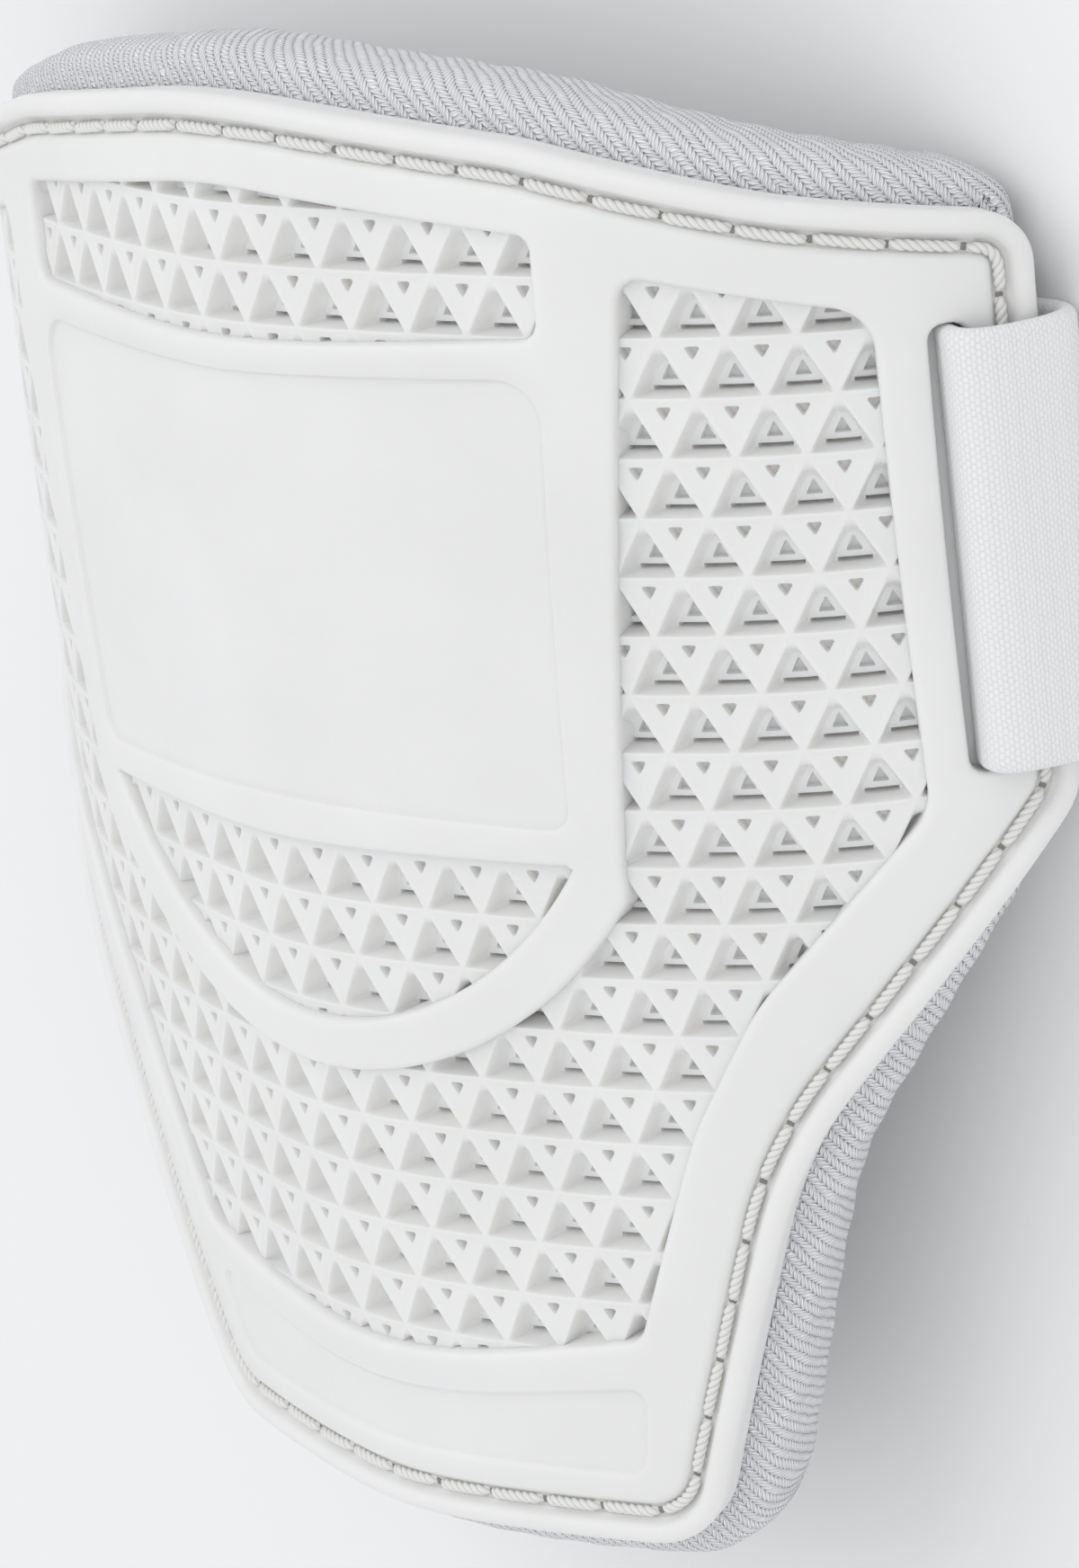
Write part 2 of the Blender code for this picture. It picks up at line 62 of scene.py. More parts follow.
# Sizes of the visible detail, in mm unless said otherwise
STITCH_PITCH = 6.3
STITCH_GAP = 0.27        # from a needle hole to the thread, at both ends of a stitch
THREAD_RADIUS = 0.46
THREAD_PLIES = 3
THREAD_TWIST = 2 * math.pi / 2.4     # radians a mm
THREAD_STATIONS, THREAD_SIDES = 32, 16
HOLE_SIDES = 14
HOLE_RINGS = ((0.36, 0.46), (0.27, 0.51))    # radius and w of a needle hole's two rings
HOLE_MIDDLE_W = 0.50
CHANNEL_FLOOR = (0.46, 0.42, 0.48)   # w across the floor of the stitching channel
GROOVE_MARK = 6.0        # the third cloth coordinate in that channel
PAD_YARN_ANGLE = 52.0    # degrees
PAD_STEP = 0.55          # between points round the pad's edge
PAD_ROLL = 3.2           # how far in the pad's rolled edge turns
PAD_ROLL_STEPS = 22
STRAP_STEP = 0.55        # between points along the strap
STRAP_SMOOTHING = 14     # passes over its line
STRAP_ACROSS, STRAP_ROUND = 40, 9    # points across a flat face, and round an edge
MOON_STEPS = 40          # pieces in half of the half moon's arc
WINDOW_STEP = 0.8        # between points round the windows and the panels
FRONT_STEP = 2.2         # between points over the front's plain areas

# Outlines' right halves: s as a share of HALF_WIDTH, t as a share of DROP (of TOP_RISE where
# negative), and the corner's radius in mm
OUTLINE = [(0.000, -1.000, 90.0), (0.430, -0.760, 38.5), (0.720, -0.430, 69.3),
           (1.000, -0.221, 5.0), (1.000, 0.413, 7.0),
           (0.636, 0.668, 45.0), (0.435, 0.995, 9.0), (0.000, 1.000, 0.0)]
TOP_WINDOW = [(0.000, -0.470, 60.0), (0.446, -0.234, 1.2), (0.446, 0.044, 1.6),
              (0.000, 0.058, 300.0)]
PANEL = [(0.000, 0.079, 0.0), (0.446, 0.073, 4.0), (0.416, 0.413, 2.0), (0.000, 0.406, 0.0)]
FOOT = [(0.000, 0.896, 130.0), (0.390, 0.862, 1.5), (0.365, 0.940, 3.0), (0.000, 0.944, 0.0)]
SIDE_WINDOW = [(0.549, -0.026, 2.0), (0.822, 0.031, 4.0), (0.831, 0.407, 5.0),
               (0.610, 0.549, 25.0), (0.513, 0.647, 30.0), (0.392, 0.824, 2.5),
               (0.000, 0.866, 140.0)]
MOON_TOP, MOON_FOOT, MOON_HALF, ARC_BAR = 0.441, 0.584, 0.412, 4.8


# Places

def turn(s):
    """How far the front has turned away at s, in radians."""
    share = s / HALF_WIDTH
    return NOSE_TURN * np.tanh(s / NOSE_RUN) + FRONT_TURN * share + WING_TURN * share ** 3


TABLE_S = np.linspace(0.0, 1.3 * HALF_WIDTH, 2001)
TABLE_TURN = turn((TABLE_S[1:] + TABLE_S[:-1]) / 2)
TABLE_X = np.concatenate([[0.0], np.cumsum(np.cos(TABLE_TURN) * np.diff(TABLE_S))])
TABLE_Y = np.concatenate([[0.0], np.cumsum(np.sin(TABLE_TURN) * np.diff(TABLE_S))])


def section(s, w):
    """Across and depth of flat points in the section, in mm."""
    s, w = np.asarray(s, float), np.asarray(w, float)
    a = turn(np.abs(s))
    x = np.interp(np.abs(s), TABLE_S, TABLE_X) + w * np.sin(a)
    y = np.interp(np.abs(s), TABLE_S, TABLE_Y) - w * np.cos(a)
    return np.where(s < 0, -x, x), y


def bend(flat):
    """Flat points (s, t, w) in mm to places in metres."""
    flat = np.asarray(flat, float)
    x, y = section(flat[:, 0], flat[:, 2])
    angle = (flat[:, 1] - SLOT_MIDDLE) / ARCH_RADIUS
    radius = ARCH_RADIUS - y
    return np.stack([x, SHIFT_Y - radius * np.sin(angle),
                     radius * np.cos(angle) - ARCH_RADIUS + DEPTH], -1) * MM


def placed(table):
    """A table's right half as corners (s, t, radius) in mm."""
    return [(s * HALF_WIDTH, t * (TOP_RISE if t < 0 else DROP), r) for s, t, r in table]


def mirrored(half):
    """All the corners of a symmetric outline, from its right half."""
    return half + [(-s, t, r) for s, t, r in reversed(half) if s > 0.05]


def arc_down(half_chord, top, foot, steps):
    """The right half of an arc that hangs from (half_chord, top) to (0, foot)."""
    rise = foot - top
    radius = (half_chord ** 2 + rise ** 2) / (2 * rise)
    reach = math.asin(half_chord / radius)
    angles = [reach * (1 - k / steps) for k in range(steps + 1)]
    return [(radius * math.sin(a), foot - radius + radius * math.cos(a), 0.0) for a in angles]


def grown(corners, amount):
    """The corners moved outwards by amount, or inwards where it is negative."""
    points = [Vector(c[:2]) for c in corners]
    area = sum(a.x * b.y - b.x * a.y for a, b in zip(points, points[1:] + points[:1]))
    side = math.copysign(1.0, area)
    moved = []
    for i, here in enumerate(points):
        a = (here - points[i - 1]).normalized()
        b = (points[(i + 1) % len(points)] - here).normalized()
        n1, n2 = Vector((a.y, -a.x)) * side, Vector((b.y, -b.x)) * side
        mid = (n1 + n2).normalized()
        out = here + mid * amount / mid.dot(n1)
        bulges = (a.x * b.y - a.y * b.x) * side > 0
        radius = corners[i][2] + (amount if bulges else -amount)
        moved.append((out.x, out.y, max(radius, 0.6) if corners[i][2] else 0.0))
    return moved


def rounded(corners, closed=True, turn_step=0.12, run_step=1.4):
    """The path through the corners (s, t, radius), with each corner rounded."""
    path, count = [], len(corners)
    for i, (s, t, radius) in enumerate(corners):
        here = Vector((s, t))
        if radius <= 0 or not closed and i in (0, count - 1):
            path.append(here)
            continue
        a = Vector(corners[i - 1][:2]) - here
        b = Vector(corners[(i + 1) % count][:2]) - here
        half = a.angle(b) / 2
        run = min(radius / math.tan(half), 0.48 * a.length, 0.48 * b.length)
        if run < 0.02:
            path.append(here)
            continue
        a.normalize()
        b.normalize()
        centre = here + (a + b).normalized() * run / math.cos(half)
        spoke, last = here + a * run - centre, here + b * run - centre
        sweep = math.atan2(spoke.x * last.y - spoke.y * last.x, spoke.dot(last))
        steps = max(2, round(abs(sweep) / turn_step), round(abs(sweep) * spoke.length / run_step))
        for k in range(steps + 1):
            c, q = math.cos(sweep * k / steps), math.sin(sweep * k / steps)
            path.append(centre + Vector((c * spoke.x - q * spoke.y, q * spoke.x + c * spoke.y)))
    return path


def evenly(path, step, closed=True):
    """Points about step apart along the path."""
    p = np.array([tuple(v) for v in path], float)
    if closed:
        p = np.concatenate([p, p[:1]])
    run = np.concatenate([[0], np.cumsum(np.linalg.norm(np.diff(p, axis=0), axis=1))])
    count = max(4, round(run[-1] / step))
    at = np.linspace(0, run[-1], count + 1)
    out = np.stack([np.interp(at, run, p[:, k]) for k in range(p.shape[1])], -1)
    return out[:-1] if closed else out


def inside(points, loop):
    """Which of the points lie in the loop."""
    x, y = points[:, 0], points[:, 1]
    hit = np.zeros(len(points), bool)
    for a, b in zip(loop, np.roll(loop, -1, axis=0)):
        if a[1] == b[1]:
            continue
        cross = (a[1] > y) != (b[1] > y)
        hit ^= cross & (x < (b[0] - a[0]) * (y - a[1]) / (b[1] - a[1]) + a[0])
    return hit


def loop_area(loop):
    x, y = loop[:, 0], loop[:, 1]
    return 0.5 * float(np.sum(x * np.roll(y, -1) - y * np.roll(x, -1)))


def outward(loop, reach=1):
    """The outward direction at each point of a closed loop."""
    along = np.roll(loop, -reach, axis=0) - np.roll(loop, reach, axis=0)
    along /= np.linalg.norm(along, axis=1)[:, None]
    side = math.copysign(1.0, loop_area(loop))
    return np.stack([along[:, 1], -along[:, 0]], -1) * side


# Meshes

class Sheet:
    """Collects flat points and faces; later welded, bent and made into one piece."""

    def __init__(self):
        self.points, self.faces = [], []

    def add(self, flat, faces):
        base = len(self.points)
        self.points += [tuple(p) for p in flat]
        self.faces += [tuple(base + i for i in f) for f in faces]

    def strips(self, loop, normal, profile):
        """Bands of quads along the loop: profile is (distance outwards, w) from loop to loop."""
        n = len(loop)
        flat = [np.concatenate([loop + normal * d, np.full((n, 1), w)], axis=1)
                for d, w in profile]
        faces = []
        for k in range(len(profile) - 1):
            for i in range(n):
                j = (i + 1) % n
                faces.append((k * n + i, k * n + j, (k + 1) * n + j, (k + 1) * n + i))
        self.add(np.concatenate(flat), faces)

    def fill(self, outer, holes, w, step):
        """Triangles between the outer loop and the holes, at height w."""
        loops = [outer] + holes
        points, edges = [], []
        for loop in loops:
            base, n = len(points), len(loop)
            points += [tuple(p) for p in loop]
            edges += [(base + i, base + (i + 1) % n) for i in range(n)]
        lo, hi = outer.min(0), outer.max(0)
        grid = []
        for k, y in enumerate(np.arange(lo[1] + step / 2, hi[1], step * 0.87)):
            for x in np.arange(lo[0] + step * (0.3 + 0.5 * (k % 2)), hi[0], step):
                grid.append((x, y))
        if grid:
            grid = np.array(grid)
            keep = inside(grid, outer)
            for hole in holes:
                keep &= ~inside(grid, hole)
            grid = grid[keep]
            edge = np.array(points)
            near = np.array([np.min(np.sum((edge - g) ** 2, axis=1)) for g in grid])
            points += [tuple(g) for g in grid[near > (0.55 * step) ** 2]]
        out = delaunay_2d_cdt([Vector(p) for p in points], edges, [], 0, 1e-5)
        spots = np.array([tuple(v) for v in out[0]])
        faces = np.array([f[:] for f in out[2]])
        middle = spots[faces].mean(axis=1)
        a, b = spots[faces[:, 1]] - spots[faces[:, 0]], spots[faces[:, 2]] - spots[faces[:, 0]]
        keep = inside(middle, outer) & (np.abs(a[:, 0] * b[:, 1] - a[:, 1] * b[:, 0]) > 1e-4)
        for hole in holes:
            keep &= ~inside(middle, hole)
        flat = np.concatenate([spots, np.full((len(spots), 1), w)], axis=1)
        self.add(flat, [tuple(f) for f in faces[keep]])


def make_piece(name, flat, faces, material, world=None, cloth=None, sharp=50,
               weld=True, recalc=True):
    """One object from flat points, or from places in metres where world is given."""
    flat = np.asarray(flat, float)
    places = bend(flat) if world is None else np.asarray(world, float)
    mesh = bpy.data.meshes.new(name)
    mesh.from_pydata([tuple(p) for p in places], [], [tuple(int(i) for i in f) for f in faces])
    layer = mesh.attributes.new("cloth", 'FLOAT_VECTOR', 'POINT')
    layer.data.foreach_set("vector", (flat if cloth is None else np.asarray(cloth)).ravel())
    piece = bpy.data.objects.new(name, mesh)
    bpy.context.scene.collection.objects.link(piece)
    bm = bmesh.new()
    bm.from_mesh(mesh)
    if weld:
        bmesh.ops.remove_doubles(bm, verts=bm.verts, dist=2e-6)
    loose = [v for v in bm.verts if not v.link_faces]
    bmesh.ops.delete(bm, geom=loose, context='VERTS')
    if recalc:
        bmesh.ops.recalc_face_normals(bm, faces=bm.faces)
    bm.to_mesh(mesh)
    bm.free()
    mesh.shade_smooth()
    if sharp:
        mesh.set_sharp_from_angle(angle=math.radians(sharp))
    mesh.materials.append(material)
    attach(piece, "root")
    return piece


# Materials

class Nodes:
    """Short calls for a material's nodes."""

    def __init__(self, name, colour, roughness, **sockets):
        self.material = bpy.data.materials.new(name)
        self.material.use_nodes = True
        self.tree = self.material.node_tree
        self.shader = self.tree.nodes['Principled BSDF']
        self.shader.inputs['Base Color'].default_value = (*colour, 1.0)
        self.shader.inputs['Roughness'].default_value = roughness
        for key, value in sockets.items():
            self.shader.inputs[key.replace('_', ' ')].default_value = value

    def put(self, socket, value):
        if isinstance(value, bpy.types.NodeSocket):
            self.tree.links.new(value, socket)
        else:
            socket.default_value = value

    def math(self, operation, a, b=0.0, c=0.0):
        node = self.tree.nodes.new('ShaderNodeMath')
        node.operation = operation
        for socket, value in zip(node.inputs, (a, b, c)):
            self.put(socket, value)
        return node.outputs[0]

    def cloth(self):
        """The three flat coordinates, in mm."""
        node = self.tree.nodes.new('ShaderNodeAttribute')
        node.attribute_name = "cloth"
        split = self.tree.nodes.new('ShaderNodeSeparateXYZ')
        self.tree.links.new(node.outputs['Vector'], split.inputs[0])
        return node.outputs['Vector'], split.outputs[0], split.outputs[1], split.outputs[2]

    def place(self):
        """Coordinates in space, in metres."""
        node = self.tree.nodes.new('ShaderNodeTexCoord')
        return node.outputs['Object']

    def noise(self, vector, scale, detail=3.0, rough=0.5):
        node = self.tree.nodes.new('ShaderNodeTexNoise')
        self.tree.links.new(vector, node.inputs['Vector'])
        node.inputs['Scale'].default_value = scale
        node.inputs['Detail'].default_value = detail
        node.inputs['Roughness'].default_value = rough
        return node.outputs[0]

    def ramp(self, value, low, high, a=0.0, b=1.0):
        node = self.tree.nodes.new('ShaderNodeMapRange')
        self.put(node.inputs['Value'], value)
        for key, number in (('From Min', low), ('From Max', high), ('To Min', a), ('To Max', b)):
            node.inputs[key].default_value = number
        return node.outputs[0]

    def mix(self, factor, a, b):
        node = self.tree.nodes.new('ShaderNodeMix')
        node.data_type = 'RGBA'
        self.put(node.inputs[0], factor)
        for socket, value in ((node.inputs[6], a), (node.inputs[7], b)):
            self.put(socket, value if isinstance(value, bpy.types.NodeSocket) else (*value, 1.0))
        return node.outputs[2]

    def bump(self, height, distance, strength=1.0, under=None):
        node = self.tree.nodes.new('ShaderNodeBump')
        self.put(node.inputs['Height'], height)
        node.inputs['Distance'].default_value = distance
        node.inputs['Strength'].default_value = strength
        if under is not None:
            self.tree.links.new(under, node.inputs['Normal'])
        return node.outputs[0]

    def into(self, key, value):
        self.tree.links.new(value, self.shader.inputs[key])


def rubber_material():
    n = Nodes('moulded_rubber', (0.80, 0.795, 0.775), 0.40, Specular_IOR_Level=0.42,
              Subsurface_Weight=0.30, Subsurface_Scale=0.0018)
    n.shader.inputs['Subsurface Radius'].default_value = (1.0, 0.85, 0.7)
    at = n.place()
    vector, _, _, w = n.cloth()
    broad = n.ramp(n.noise(at, 55.0, 3.0), 0.35, 0.65)
    tone_and_pocket_light = n.mix(broad, (0.79, 0.787, 0.774), (0.815, 0.812, 0.80))
    # the pockets' depths are painted paler: painted light that lifts the shade in them
    tone_and_pocket_light = n.mix(n.ramp(w, -0.4, -2.2), tone_and_pocket_light, (0.93, 0.928, 0.918))
    # the stitching channel's floor is made darker, in noisy patches
    channel_mottle = n.ramp(n.noise(vector, 1.3, 3.0), 0.3, 0.7, 0.35, 0.85)
    groove = n.math('MULTIPLY', n.ramp(w, 1.7, GROOVE_MARK), channel_mottle)
    n.into('Base Color', n.mix(groove, tone_and_pocket_light, (0.50, 0.485, 0.455)))
    n.into('Roughness', n.ramp(n.noise(at, 900.0, 3.0), 0.3, 0.7, 0.34, 0.48))
    slow = n.bump(n.noise(at, 160.0, 2.0), 0.00008, 0.35)
    n.into('Normal', n.bump(n.noise(at, 2600.0, 2.0), 0.00003, 0.30, slow))
    return n.material


def woven(n, u, v, length, pitch):
    """Brick-laid rounded yarns, length by pitch in mm: 1 on top of a yarn, 0 between."""
    row = n.math('FLOOR', n.math('DIVIDE', v, pitch))
    x = n.math('ADD', n.math('DIVIDE', u, length), n.math('MULTIPLY', row, 0.5))
    fx = n.math('SUBTRACT', n.math('FRACT', x), 0.5)
    fy = n.math('SUBTRACT', n.math('FRACT', n.math('DIVIDE', v, pitch)), 0.5)
    a = n.math('POWER', n.math('ABSOLUTE', n.math('MULTIPLY', fx, 2.0)), 2.6)
    b = n.math('POWER', n.math('ABSOLUTE', n.math('MULTIPLY', fy, 2.0)), 2.2)
    rest = n.math('MAXIMUM', n.math('SUBTRACT', 1.0, n.math('ADD', a, b)), 0.0)
    return n.math('POWER', rest, 0.5)


def turned(n, u, v, degrees):
    """The coordinates u and v, turned."""
    c, s = math.cos(math.radians(degrees)), math.sin(math.radians(degrees))
    along = n.math('ADD', n.math('MULTIPLY', u, c), n.math('MULTIPLY', v, s))
    across = n.math('SUBTRACT', n.math('MULTIPLY', v, c), n.math('MULTIPLY', u, s))
    return along, across


def pad_material():
    n = Nodes('woven_fabric', (0.70, 0.705, 0.73), 0.78, Specular_IOR_Level=0.35,
              Sheen_Weight=0.3, Sheen_Roughness=0.4)
    vector, u, v, _ = n.cloth()
    wobble = n.math('MULTIPLY', n.math('SUBTRACT', n.noise(vector, 0.35, 2.0), 0.5), 0.9)
    along, across = turned(n, u, n.math('ADD', v, wobble), PAD_YARN_ANGLE)
    # a herringbone: narrow diagonal ribs of yarn dashes that slant to and fro
    rib = n.math('DIVIDE', across, 0.90)
    part = n.math('FRACT', rib)
    rise = n.math('MULTIPLY', n.math('MULTIPLY', part, n.math('SUBTRACT', 1.0, part)), 4.0)
    odd = n.math('MULTIPLY', n.math('FRACT', n.math('MULTIPLY', n.math('FLOOR', rib), 0.5)), 4.0)
    slant = n.math('MULTIPLY', n.math('SUBTRACT', odd, 1.0), n.math('MULTIPLY', part, 0.55))
    dash = n.math('SINE', n.math('MULTIPLY', n.math('ADD', along, slant), 2 * math.pi / 0.50))
    dash = n.ramp(dash, -0.9, 0.9)
    yarn = n.math('MULTIPLY', dash, n.math('POWER', rise, 0.6))
    tone = n.noise(vector, 0.9, 2.0)
    # the yarn dashes' tops are painted near white, a painted highlight, over the darker tone between
    # them; noise varies both
    deep = n.mix(tone, (0.74, 0.74, 0.765), (0.80, 0.80, 0.825))
    high = n.mix(tone, (0.96, 0.96, 0.97), (0.98, 0.98, 0.985))
    n.into('Base Color', n.mix(yarn, deep, high))
    fine = n.bump(n.noise(vector, 9.0, 2.0), 0.00004, 0.4)
    broad = n.bump(rise, 0.00018, 0.8, fine)
    n.into('Normal', n.bump(yarn, 0.00020, 0.9, broad))
    return n.material


def strap_material():
    n = Nodes('knitted_elastic', (0.86, 0.86, 0.855), 0.85, Specular_IOR_Level=0.2,
              Sheen_Weight=0.35, Sheen_Roughness=0.45)
    vector, u, v, _ = n.cloth()
    wobble = n.math('MULTIPLY', n.math('SUBTRACT', n.noise(vector, 0.8, 2.0), 0.5), 0.22)
    knit = woven(n, n.math('ADD', v, wobble), n.math('ADD', u, wobble), 0.62, 0.34)
    ribs = n.math('SINE', n.math('MULTIPLY', n.math('ADD', u, wobble), 2 * math.pi / 1.36))
    fuzz = n.noise(vector, 3.2, 4.0, 0.65)
    # the knit's loops are painted lighter on top, a painted highlight broken up by noise, over the
    # darker tone between them
    n.into('Base Color', n.mix(n.math('MULTIPLY', knit, fuzz), (0.80, 0.80, 0.80),
                               (0.90, 0.90, 0.895)))
    low = n.bump(ribs, 0.00005, 0.5)
    mid = n.bump(knit, 0.00007, 0.7, low)
    n.into('Normal', n.bump(fuzz, 0.00010, 0.45, mid))
    return n.material


def thread_material():
    n = Nodes('white_thread', (0.83, 0.83, 0.82), 0.55, Specular_IOR_Level=0.4,
              Sheen_Weight=0.3, Sheen_Roughness=0.35)
    vector, u, v, _ = n.cloth()
    phase = n.math('SUBTRACT', n.math('MULTIPLY', v, 2 * math.pi / THREAD_SIDES),
                   n.math('MULTIPLY', u, THREAD_TWIST))
    ply = n.math('ABSOLUTE', n.math('COSINE', n.math('MULTIPLY', phase, THREAD_PLIES / 2)))
    # the grooves between the plies are painted darker, as painted shade, with noise in their tone;
    # the plies' tops stay pale
    ply_groove_shade = n.mix(n.noise(vector, 2.0), (0.54, 0.53, 0.50), (0.66, 0.65, 0.62))
    n.into('Normal', n.bump(ply, 0.00006, 0.6))
    n.into('Base Color', n.mix(n.ramp(ply, 0.05, 0.5), ply_groove_shade, (0.78, 0.775, 0.755)))
    return n.material


def hole_shade_material():
    # a needle hole drawn as a dark disc: painted shade, its tone varied by noise
    n = Nodes('needle_hole_shade', (0.10, 0.095, 0.085), 0.9, Specular_IOR_Level=0.1)
    n.into('Base Color', n.mix(n.noise(n.place(), 3000.0), (0.16, 0.15, 0.135), (0.34, 0.33, 0.30)))
    return n.material


def hook_material():
    n = Nodes('hook_tape', (0.74, 0.74, 0.74), 0.7, Specular_IOR_Level=0.35)
    at = n.place()
    grain = n.tree.nodes.new('ShaderNodeTexVoronoi')
    n.tree.links.new(at, grain.inputs['Vector'])
    grain.inputs['Scale'].default_value = 900.0
    n.into('Normal', n.bump(grain.outputs['Distance'], 0.0003, 0.8))
    n.into('Base Color', n.mix(grain.outputs['Distance'], (0.82, 0.82, 0.81), (0.62, 0.62, 0.62)))
    return n.material


def floor_material():
    n = Nodes('pale_floor', (0.86, 0.86, 0.86), 0.9, Specular_IOR_Level=0.1)
    n.into('Base Color', n.mix(n.noise(n.place(), 3.0), (0.865, 0.865, 0.865), (0.875, 0.875, 0.875)))
    return n.material


# The moulded shell

# Sections across an edge: the distance outwards from its outline, and w
EDGE = [(0.0, W_FLANGE), (0.0, 0.70), (-0.08, 1.08), (-0.25, 1.37), (-0.5, 1.58), (-0.8, 1.68),
        (-1.1, 1.70), (-1.4, 1.66), (-1.7, 1.52), (-1.95, 1.25), (-2.08, 0.95), (-2.2, 0.62),
        (-2.45, CHANNEL_FLOOR[0]), (-3.1, CHANNEL_FLOOR[1]), (-3.7, CHANNEL_FLOOR[2]),
        (-3.95, 0.72), (-4.15, 0.90), (-4.5, W_FRAME)]
LIP = [(0.0, -4.5), (0.0, 0.40), (0.08, 0.66), (0.25, 0.86), (0.5, 0.96), (0.9, 1.0)]
SLOT_LIP = [(0.0, W_FLANGE), (0.0, 0.45), (0.08, 0.70), (0.25, 0.90), (0.55, 1.0)]
FOOT_STEP = [(-0.50, W_FRAME - 0.42), (-0.28, W_FRAME - 0.39), (-0.10, W_FRAME - 0.23),
             (0.08, W_FRAME - 0.05), (0.28, W_FRAME)]
PANEL_STEP = [(-0.32, W_FRAME - PANEL_SINK), (-0.16, W_FRAME - 0.94 * PANEL_SINK),
              (-0.05, W_FRAME - 0.62 * PANEL_SINK), (0.03, W_FRAME - 0.20 * PANEL_SINK),
              (0.16, W_FRAME)]


def window_loops():
    """The outlines of the three lattice windows, as even points."""
    half, edge, foot = MOON_HALF * HALF_WIDTH, MOON_TOP * DROP, MOON_FOOT * DROP
    moon = arc_down(half, edge, foot, MOON_STEPS)
    bar = arc_down(half + ARC_BAR, edge + 0.6 * ARC_BAR, foot + ARC_BAR, MOON_STEPS)
    inner = list(reversed(bar)) + [(half + ARC_BAR, edge, 0.0)]
    halves = (placed(TOP_WINDOW), [(0.0, edge, 0.0)] + moon, inner + placed(SIDE_WINDOW))
    return [evenly(rounded(mirrored(half)), WINDOW_STEP) for half in halves]


def slot_loops():
    """The outlines of the two strap slots, as even points."""
    inner = HALF_WIDTH - SLOT_OFFSET
    reach = STRAP_WIDTH / 2 + SLOT_PLAY
    loops = []
    for side in (1, -1):
        corners = [(side * (inner + a * SLOT_WIDTH), SLOT_MIDDLE + b * reach, SLOT_ROUND)
                   for a, b in ((0, -1), (1, -1), (1, 1), (0, 1))]
        loops.append(evenly(rounded(corners), 0.6))
    return loops


def make_shell(material):
    sheet = Sheet()
    corners = mirrored(placed(OUTLINE))
    outline = evenly(rounded(corners), 0.7)
    normal = outward(outline)
    sheet.strips(outline, normal, EDGE)
    holes = []
    for loop in window_loops():
        out = outward(loop)
        sheet.strips(loop, out, LIP)
        sheet.fill(loop, [], LIP[0][1], 6.0)
        holes.append(loop + out * LIP[-1][0])
    for loop in slot_loops():
        out = outward(loop)
        sheet.strips(loop, out, SLOT_LIP)
        holes.append(loop + out * SLOT_LIP[-1][0])
    panel = evenly(rounded(mirrored(placed(PANEL))), WINDOW_STEP)
    out = outward(panel)
    sheet.strips(panel, out, PANEL_STEP)
    sheet.fill(panel + out * PANEL_STEP[0][0], [], PANEL_STEP[0][1], FRONT_STEP)
    holes.append(panel + out * PANEL_STEP[-1][0])
    # the plain area under the lattice lies a little lower too
    foot = evenly(rounded(mirrored(placed(FOOT))), WINDOW_STEP)
    out = outward(foot)
    sheet.strips(foot, out, FOOT_STEP)
    sheet.fill(foot + out * FOOT_STEP[0][0], [], FOOT_STEP[0][1], FRONT_STEP)
    holes.append(foot + out * FOOT_STEP[-1][0])
    sheet.fill(outline + normal * EDGE[-1][0], holes, W_FRAME, FRONT_STEP)
    # the underside: the thin border, the step, and the core's back
    core = evenly(rounded(grown(corners, -BORDER)), 1.2)
    out = outward(core)
    sheet.strips(core, out, [(0.0, W_CORE), (0.0, W_FLANGE)])
    sheet.fill(core, [], W_CORE, 4.0)
    sheet.fill(outline, [core], W_FLANGE, 3.0)
    cloth = np.array(sheet.points)
    floor = np.isin(np.round(cloth[:, 2], 3), CHANNEL_FLOOR)
    cloth[floor, 2] = GROOVE_MARK
    return make_piece('shell_body', sheet.points, sheet.faces, material, cloth=cloth,
                      sharp=55)


# The lattice

ARC, SIDE = 5, 3         # points on each corner of a cell's outline, and between two corners


def triangle_loop(corners):
    """The outline of a triangle with rounded corners (s, t, radius), always as many points."""
    spots = [np.array(c[:2]) for c in corners]
    arcs = []
    for k in range(3):
        here, radius = spots[k], corners[k][2]
        u, v = spots[k - 1] - here, spots[(k + 1) % 3] - here
        u, v = u / np.linalg.norm(u), v / np.linalg.norm(v)
        half = math.acos(float(u @ v)) / 2
        middle = here + (u + v) / np.linalg.norm(u + v) * radius / math.sin(half)
        a, b = (here + way * radius / math.tan(half) - middle for way in (u, v))
        sweep = math.atan2(a[0] * b[1] - a[1] * b[0], float(a @ b)) if radius else 0.0
        arc = []
        for angle in np.linspace(0, sweep, ARC):
            c, q = math.cos(angle), math.sin(angle)
            arc.append(middle + [c * a[0] - q * a[1], q * a[0] + c * a[1]])
        arcs.append(arc)
    loop = []
    for k in range(3):
        first, last = arcs[k][-1], arcs[(k + 1) % 3][0]
        loop += arcs[k] + [first + (last - first) * i / (SIDE + 1) for i in range(1, SIDE + 1)]
    return np.array(loop)


def cell_loop(sides, base, apex_radius, base_radius):
    """A lattice cell's outline, with its two sides and its base drawn in."""
    half = ((ROW - base) / 2 - sides) / math.cos(math.radians(30))
    return triangle_loop([(0.0, 2 * sides, apex_radius), (half, ROW - base, base_radius),
                          (-half, ROW - base, base_radius)])


def cell(levels, down):
    """One cell as flat points and quads, from loops with their heights, closed at the last."""
    end = levels[-1]
    levels = levels + [(np.tile(end[0].mean(axis=0), (len(end[0]), 1)), end[1])]
    n = len(end[0])
    flat = np.concatenate([np.concatenate([loop, np.broadcast_to(w, n)[:, None]], axis=1)
                           for loop, w in levels])
    faces = [(k * n + i, k * n + (i + 1) % n, (k + 1) * n + (i + 1) % n, (k + 1) * n + i)
             for k in range(len(levels) - 1) for i in range(n)]
    faces = np.array(faces)
    if down:
        return flat * [1.0, -1.0, 1.0], faces
    return flat, faces[:, ::-1]


RING_W, SLIT_W, EYE_W = -2.3, -3.6, -3.2


